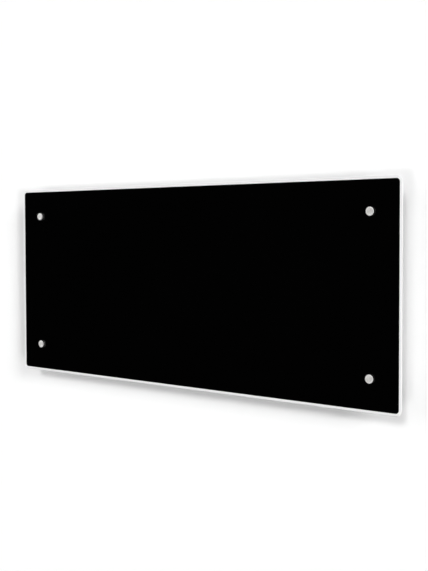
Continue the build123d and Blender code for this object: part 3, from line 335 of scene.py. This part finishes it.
made_finishes = [
    black_glass(),
    painted("rim_paint", (0.88, 0.88, 0.88), grain=1400.0, relief=0.006 * MM, rough=(0.28, 0.36)),
    painted("tray_paint", (0.70, 0.70, 0.70), grain=1100.0, relief=0.05 * MM, rough=(0.45, 0.6)),
    turned_steel(),
    rubbery("silicone", (0.62, 0.62, 0.60), dust=(0.74, 0.74, 0.72), rough=(0.4, 0.55), relief=0.01 * MM),
    metal("plated_steel", (0.66, 0.66, 0.64), dark=0.85, rough=(0.25, 0.4)),
    mica(),
    metal("element_foil", (0.52, 0.51, 0.49), dark=0.75, rough=(0.2, 0.35), scale=(8.0, 60.0, 120.0)),
    metal("brass_parts", (0.74, 0.56, 0.27), dark=0.72, rough=(0.22, 0.38)),
    moulded("ceramic_white", (0.80, 0.79, 0.74), 0.03, rough=(0.25, 0.4), grain=900.0, relief=0.02 * MM),
    metal("carrier_aluminium", (0.74, 0.75, 0.76), dark=0.9, rough=(0.3, 0.5), scale=(6.0, 120.0, 240.0)),
    mineral_wool(),
    rubbery("buffer_rubber", (0.022, 0.022, 0.023), dust=(0.075, 0.073, 0.07)),
    galvanised(),
    moulded("fascia_plastic", (0.028, 0.028, 0.030), 0.12),
    moulded("window_plastic", (0.006, 0.006, 0.007), 0.2, rough=(0.05, 0.09), grain=200.0, relief=0.001 * MM),
    moulded("button_plastic", (0.78, 0.78, 0.77), 0.02, rough=(0.32, 0.45)),
    moulded("rocker_plastic", (0.018, 0.018, 0.018), 0.12, rough=(0.28, 0.42)),
    board(),
    moulded("display_black", (0.03, 0.03, 0.03), 0.15, rough=(0.2, 0.3)),
    metal("module_can", (0.68, 0.68, 0.67), dark=0.9, rough=(0.2, 0.3)),
    moulded("relay_blue", (0.035, 0.11, 0.34), 0.06, rough=(0.3, 0.42)),
    moulded("holder_grey", (0.34, 0.34, 0.34)),
    moulded("terminal_green", (0.045, 0.34, 0.11)),
    moulded("capacitor_sleeve", (0.018, 0.018, 0.06), 0.1, rough=(0.22, 0.32)),
    striped("ribbon_grey", (0.52, 0.52, 0.52), (0.40, 0.40, 0.41), count=790.0, axis="X"),
    metal("cutout_body", (0.66, 0.66, 0.65), dark=0.85, rough=(0.25, 0.4)),
    moulded("element_wire", (0.72, 0.69, 0.62), 0.05, rough=(0.6, 0.75), grain=1500.0, relief=0.03 * MM),
    moulded("switch_wire", (0.22, 0.10, 0.05), 0.1, rough=(0.35, 0.45)),
    striped("earth_wire", (0.62, 0.55, 0.03), (0.05, 0.32, 0.07), count=110.0, axis="Z"),
    metal("sensor_metal", (0.68, 0.67, 0.65), dark=0.85, rough=(0.22, 0.34)),
]
finishes = {finish.slot: finish for finish in made_finishes}

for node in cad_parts.values():
    for material_slot in node.material_slots:
        slot_name = material_slot.material.name.split(".")[0]
        material_slot.material = finishes[slot_name].material

# ---------------------------------------------------------------- refined pieces


def new_piece(name, mesh, body, slot):
    """A new piece with that mesh, which rides on the body and takes the slot's finish."""
    piece = bpy.data.objects.new(name, mesh)
    scene.collection.objects.link(piece)
    mesh.materials.append(finishes[slot].material)
    mesh.polygons.foreach_set("use_smooth", [True] * len(mesh.polygons))
    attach(piece, body)
    return piece


def turned(name, profile, steps=96):
    """A mesh turned round Y from a profile of (radius, y); a radius of 0 closes to a point."""
    made = bmesh.new()
    rings = []
    for radius, y in profile:
        if radius < 1e-7:
            rings.append([made.verts.new((0.0, y, 0.0))])
            continue
        ring = []
        for step in range(steps):
            angle = 2 * math.pi * step / steps
            ring.append(made.verts.new((radius * math.cos(angle), y, radius * math.sin(angle))))
        rings.append(ring)
    for near, far in zip(rings, rings[1:]):
        for step in range(steps):
            after = (step + 1) % steps
            corners = [near[step % len(near)], near[after % len(near)]]
            corners += [far[after % len(far)], far[step % len(far)]]
            unique = list(dict.fromkeys(corners))
            if len(unique) > 2:
                made.faces.new(unique)
    bmesh.ops.recalc_face_normals(made, faces=made.faces)
    mesh = bpy.data.meshes.new(name)
    made.to_mesh(mesh)
    made.free()
    return mesh


def arc(centre, radius, start, end, steps=8):
    """Points (r, y) on an arc between two angles in degrees."""
    points = []
    for step in range(steps + 1):
        angle = math.radians(start + (end - start) * step / steps)
        points.append((centre[0] + radius * math.cos(angle), centre[1] + radius * math.sin(angle)))
    return points


# Clamp caps: a turned face with a land, a shallow dished middle with cutting grooves, and a rounded rim.
cap_low, cap_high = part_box("clamp_caps")
cap_front = cap_low.y
cap_back = cap_high.y
cap_land = 2.2 * MM
cap_step = 0.16 * MM
cap_dish = 0.3 * MM
cap_back_edge = 0.25 * MM
groove_pitch = 0.42 * MM
groove_depth = 0.025 * MM
pip_height = 0.12 * MM
pip_radius = 0.8 * groove_pitch
cap_profile = [(0.0, cap_back), (CAP_RADIUS - cap_back_edge, cap_back)]
cap_profile.append((CAP_RADIUS, cap_back - cap_back_edge))
cap_profile += arc((CAP_RADIUS - CAP_ROUND, cap_front + CAP_ROUND), CAP_ROUND, 0, -90)
dish_radius = CAP_RADIUS - cap_land - cap_step
cap_profile += [(CAP_RADIUS - cap_land, cap_front), (dish_radius, cap_front + cap_step)]
groove_radius = dish_radius - groove_pitch / 2
groove = 0
while groove_radius > groove_pitch:
    fall = cap_step + (cap_dish - cap_step) * (1 - groove_radius / dish_radius)
    cap_profile.append((groove_radius, cap_front + fall + (groove % 2) * groove_depth))
    groove_radius -= groove_pitch / 2
    groove += 1
cap_profile += [(pip_radius, cap_front + cap_dish), (0.0, cap_front + cap_dish + pip_height)]

caps = []
for x in (cap_low.x + CAP_RADIUS, cap_high.x - CAP_RADIUS):
    for z in (cap_low.z + CAP_RADIUS, cap_high.z - CAP_RADIUS):
        cap = new_piece(f"clamp_cap_{len(caps) + 1}", turned("clamp_cap", cap_profile), "heater", "cap_metal")
        cap.location = (x, 0.0, z)
        caps.append(cap)
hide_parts("clamp_caps")

# Wall buffers: ribbed rubber feet with a screw well in the face that meets the wall.
buffer_low, buffer_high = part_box("wall_buffers")
foot = buffer_high.y
root = buffer_low.y
buffer_radius = 10.0 * MM
buffer_round = 2.0 * MM
well_radius = 3.6 * MM
well_depth = 3.0 * MM
well_bevel = 0.5 * MM
well_taper = 0.2 * MM
ring_pitch = 3.2 * MM
ring_depth = 0.7 * MM
ring_mouth = 0.6 * MM  # half the width at the surface
ring_floor = 0.25 * MM  # half the width at the bottom
last_ring_gap = 1.6 * MM  # least distance from a ring's middle to the rounding
buffer_profile = [(0.0, root), (buffer_radius, root)]
ring = root + ring_pitch
while ring < foot - buffer_round - last_ring_gap:
    buffer_profile += [(buffer_radius, ring - ring_mouth), (buffer_radius - ring_depth, ring - ring_floor)]
    buffer_profile += [(buffer_radius - ring_depth, ring + ring_floor), (buffer_radius, ring + ring_mouth)]
    ring += ring_pitch
buffer_profile += arc((buffer_radius - buffer_round, foot - buffer_round), buffer_round, 0, 90)
buffer_profile += [(well_radius + well_bevel, foot), (well_radius, foot - well_bevel)]
buffer_profile += [(well_radius - well_taper, foot - well_depth), (0.0, foot - well_depth)]

buffers = []
for x in (buffer_low.x + buffer_radius, buffer_high.x - buffer_radius):
    for z in (buffer_low.z + buffer_radius, buffer_high.z - buffer_radius):
        mesh = turned("wall_buffer", buffer_profile, steps=64)
        rubber = new_piece(f"wall_buffer_{len(buffers) + 1}", mesh, "heater", "buffer_rubber")
        rubber.location = (x, 0.0, z)
        buffers.append(rubber)
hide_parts("wall_buffers")


def wool_slab(name, node, voxel, straps=()):
    """A lumpy slab of mineral wool in a node's space; straps are the X of those that press its back in."""
    solid = bpy.data.objects.new(name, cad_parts[node].data.copy())
    scene.collection.objects.link(solid)
    remesh = solid.modifiers.new("voxels", "REMESH")
    remesh.mode = "VOXEL"
    remesh.voxel_size = voxel
    mesh = bpy.data.meshes.new_from_object(solid.evaluated_get(bpy.context.evaluated_depsgraph_get()))
    bpy.data.objects.remove(solid)
    low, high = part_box(node)
    broad_lumps = 90.0  # a metre
    fine_lumps = 300.0
    lump_depth = 1.1 * MM
    least_share = 0.3  # of the lump's depth, pressed in everywhere
    strap_reach = 14.0 * MM
    strap_press = 0.9 * MM
    moved = []
    for vertex in mesh.vertices:
        spot = vertex.co.copy()
        broad = noise.noise(spot * broad_lumps)
        fine = noise.noise(spot * fine_lumps)
        lump = 0.5 + 0.35 * broad + 0.15 * fine
        place = spot - vertex.normal * lump_depth * (least_share + lump)
        if spot.y > (low.y + high.y) / 2:
            press = sum(math.exp(-(((spot.x - x) / strap_reach) ** 2)) for x in straps)
            place.y -= strap_press * press
        moved.append(place)
    for vertex, place in zip(mesh.vertices, moved):
        vertex.co = place
    mesh.materials.clear()
    return mesh


mat_low, mat_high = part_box("insulation_mat")
mat_middle = (mat_low.x + mat_high.x) / 2
strap_step = (mat_high.x - mat_low.x) / 3
strap_places = [mat_middle + strap_step * (i - 1) for i in range(3)]
for name, node, voxel, straps in (
    ("insulation_wool", "insulation_mat", 4.0 * MM, strap_places),
    ("bay_wool", "bay_pad", 2.0 * MM, ()),
):
    wool = new_piece(name, wool_slab(name, node, voxel, straps), "heater", "mineral_wool")
    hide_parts(node)

# ---------------------------------------------------------------- stage

WHITE = (1.0, 1.0, 1.0)
BLACK = (0.0, 0.0, 0.0)
WALL_GAP = 0.4 * MM  # behind the bracket's back
WALL_REACH = 3.0  # metres to each side
WALL_TOP = 2.4
FLOOR_Z = -0.75
FLOOR_REACH = 9.0  # metres to each side
FLOOR_GREY = 0.21
FLOOR_GLOW = 0.6  # share of plain white in the floor's look near the heater
FADE_START = 1.0  # metres from the heater, where the floor starts to fade to white
FADE_END = 4.5


def stage_material(name):
    """An empty material, its nodes, and the socket that its shader goes to."""
    material = bpy.data.materials.new(name)
    material.use_nodes = True
    nodes = Nodes(material.node_tree)
    nodes.tree.nodes.clear()
    return material, nodes, nodes.node("ShaderNodeOutputMaterial").inputs["Surface"]


def one_sided(nodes, shader):
    """That shader on the front of a face, and nothing on its back."""
    back = nodes.node("ShaderNodeNewGeometry").outputs["Backfacing"]
    return nodes.mixed_shader(back, shader, nodes.plain_shader("ShaderNodeBsdfTransparent"))


def upright(y, left, right, bottom, top):
    """The corners of an upright rectangle that faces the room."""
    return [(left, y, bottom), (right, y, bottom), (right, y, top), (left, y, top)]


def stage_quad(name, corners, material, hidden_from):
    """A rectangle of the stage, which those kinds of ray don't meet."""
    mesh = bpy.data.meshes.new(name)
    mesh.from_pydata(corners, [], [(0, 1, 2, 3)])
    mesh.materials.append(material)
    made = bpy.data.objects.new(name, mesh)
    scene.collection.objects.link(made)
    for kind in hidden_from:
        setattr(made, f"visible_{kind}", False)


# Only the camera sees the wall, so that it doesn't darken the heater's back in the views from behind.
material, nodes, surface = stage_material("studio_wall")
nodes.link(one_sided(nodes, nodes.plain_shader("ShaderNodeBsdfDiffuse", WHITE)), surface)
wall_corners = upright(WALL_GAP, -WALL_REACH, WALL_REACH, FLOOR_Z, WALL_TOP)
stage_quad("studio_wall", wall_corners, material, ("diffuse", "glossy", "transmission", "shadow"))

# The floor fades to the white of the surroundings with the distance from the heater. Two of the lamps stand
# lower than the floor does, and light the wall through it.
material, nodes, surface = stage_material("studio_floor")
on_floor = nodes.node("ShaderNodeMapping")
on_floor.inputs["Scale"].default_value = (1.0, 1.0, 0.0)
nodes.link(nodes.node("ShaderNodeTexCoord").outputs["Object"], on_floor.inputs["Vector"])
distance = nodes.node("ShaderNodeVectorMath", operation="LENGTH")
nodes.link(on_floor.outputs[0], distance.inputs[0])
whiteness = nodes.fit(distance.outputs["Value"], FLOOR_GLOW, 1.0, FADE_START, FADE_END, "SMOOTHSTEP")
paint = nodes.plain_shader("ShaderNodeBsdfDiffuse", (FLOOR_GREY, FLOOR_GREY, FLOOR_GREY))
glow = nodes.plain_shader("ShaderNodeEmission", WHITE)
faded = nodes.mixed_shader(nodes.math("MULTIPLY", nodes.seen(), whiteness), paint, glow)
nodes.link(one_sided(nodes, faded), surface)
floor_corners = [
    (-FLOOR_REACH, -FLOOR_REACH, FLOOR_Z),
    (FLOOR_REACH, -FLOOR_REACH, FLOOR_Z),
    (FLOOR_REACH, FLOOR_REACH, FLOOR_Z),
    (-FLOOR_REACH, FLOOR_REACH, FLOOR_Z),
]
stage_quad("studio_floor", floor_corners, material, ("shadow",))

# A black cloth in front, which only reflections see: the glass front stays as black as it is.
# It thins out towards its edges, so that no hard edge shows in the glass.
cloth_y = -1.0
cloth_left = -2.6
cloth_right = 2.1
cloth_top = 0.9
black_left = -1.58
black_right = 1.25
black_bottom = -0.38
black_top = 0.27
material, nodes, surface = stage_material("studio_black_cloth")
parts = nodes.parts(nodes.node("ShaderNodeTexCoord").outputs["Object"])
density = nodes.fit(parts["X"], 0.0, 1.0, cloth_left, black_left, "SMOOTHSTEP")
for axis, clear_at, black_at in (
    ("X", cloth_right, black_right),
    ("Z", FLOOR_Z, black_bottom),
    ("Z", cloth_top, black_top),
):
    toward_edge = nodes.fit(parts[axis], 0.0, 1.0, clear_at, black_at, "SMOOTHSTEP")
    density = nodes.math("MULTIPLY", density, toward_edge)
clear = nodes.plain_shader("ShaderNodeBsdfTransparent")
black = nodes.plain_shader("ShaderNodeBsdfDiffuse", BLACK)
nodes.link(nodes.mixed_shader(density, clear, black), surface)
cloth_corners = upright(cloth_y, cloth_left, cloth_right, FLOOR_Z, cloth_top)
stage_quad("studio_black_cloth", cloth_corners, material, ("camera", "diffuse", "transmission", "shadow"))

# ---------------------------------------------------------------- light

# The surroundings look white, but give only this share of white as light.
FILL = 0.045
world = bpy.data.worlds.new("studio")
scene.world = world
world.use_nodes = True
nodes = Nodes(world.node_tree)
nodes.tree.nodes.clear()
background = nodes.node("ShaderNodeBackground")
background.inputs["Color"].default_value = (*WHITE, 1.0)
nodes.link(nodes.fit(nodes.seen(), FILL, 1.0), background.inputs["Strength"])
nodes.link(background.outputs[0], nodes.node("ShaderNodeOutputWorld").inputs["Surface"])

# Each lamp: where it stands as (right, out, up) seen from the wall, the light that it gives a plain white
# surface, and its width in degrees. That surface is parallel to the wall for the front lamps, and square to
# the lamp for those behind the wall's plane.
front_lamps = [
    ((0.41, 1.0, 0.41), 0.29, 9.8),
    ((1.48, 1.0, -0.12), 0.162, 6.7),
    ((-0.53, 1.0, 0.25), 0.108, 40.0),
    ((1.68, 1.0, 0.55), 0.225, 15.6),
    ((0.21, 1.0, -0.21), 0.138, 10.6),
]
back_lamps = [
    ((0.2, -0.15, 1.0), 0.20, 30.0),
    ((-1.0, -0.65, 0.4), 0.74, 20.0),
]


def sun(name, place, level, width, toward_wall):
    """A lamp at no set distance, which reflections don't show."""
    right, out, up = place
    direction = Vector((right, -out, up))
    lean = out / direction.length if toward_wall else 1.0
    lamp = bpy.data.lights.new(name, "SUN")
    lamp.energy = level * math.pi / lean
    lamp.angle = math.radians(width)
    made = bpy.data.objects.new(name, lamp)
    made.rotation_euler = direction.to_track_quat("Z", "Y").to_euler()
    made.visible_glossy = False
    scene.collection.objects.link(made)


for i, (place, level_on_wall, width) in enumerate(front_lamps):
    sun(f"front_lamp_{i + 1}", place, level_on_wall, width, True)
for i, (place, level_at_lamp, width) in enumerate(back_lamps):
    sun(f"back_lamp_{i + 1}", place, level_at_lamp, width, False)

# ---------------------------------------------------------------- camera

LENS = 59.975  # millimetres, on a sensor 36 mm wide
SENSOR_WIDTH = 36.0
FRAME_SHIFT = -0.03287  # the photograph's frame is cropped lower than its optical axis
CAMERA_PLACE = Vector((1.01832, -1.26232, 0.09259))
CAMERA_FORWARD = Vector((-0.62099, 0.78291, -0.03771))
CAMERA_UP = Vector((-0.02169, 0.03093, 0.99929))

camera_data = bpy.data.cameras.new("camera")
camera_data.sensor_width = SENSOR_WIDTH
camera_data.lens = LENS
camera_data.shift_y = FRAME_SHIFT
camera = bpy.data.objects.new("camera", camera_data)
scene.collection.objects.link(camera)
forward = CAMERA_FORWARD.normalized()
right = forward.cross(CAMERA_UP).normalized()
up = right.cross(forward)
turn = Matrix((right, up, -forward)).transposed().to_4x4()
camera.matrix_world = Matrix.Translation(CAMERA_PLACE) @ turn
scene.camera = camera
scene.view_settings.view_transform = "Standard"
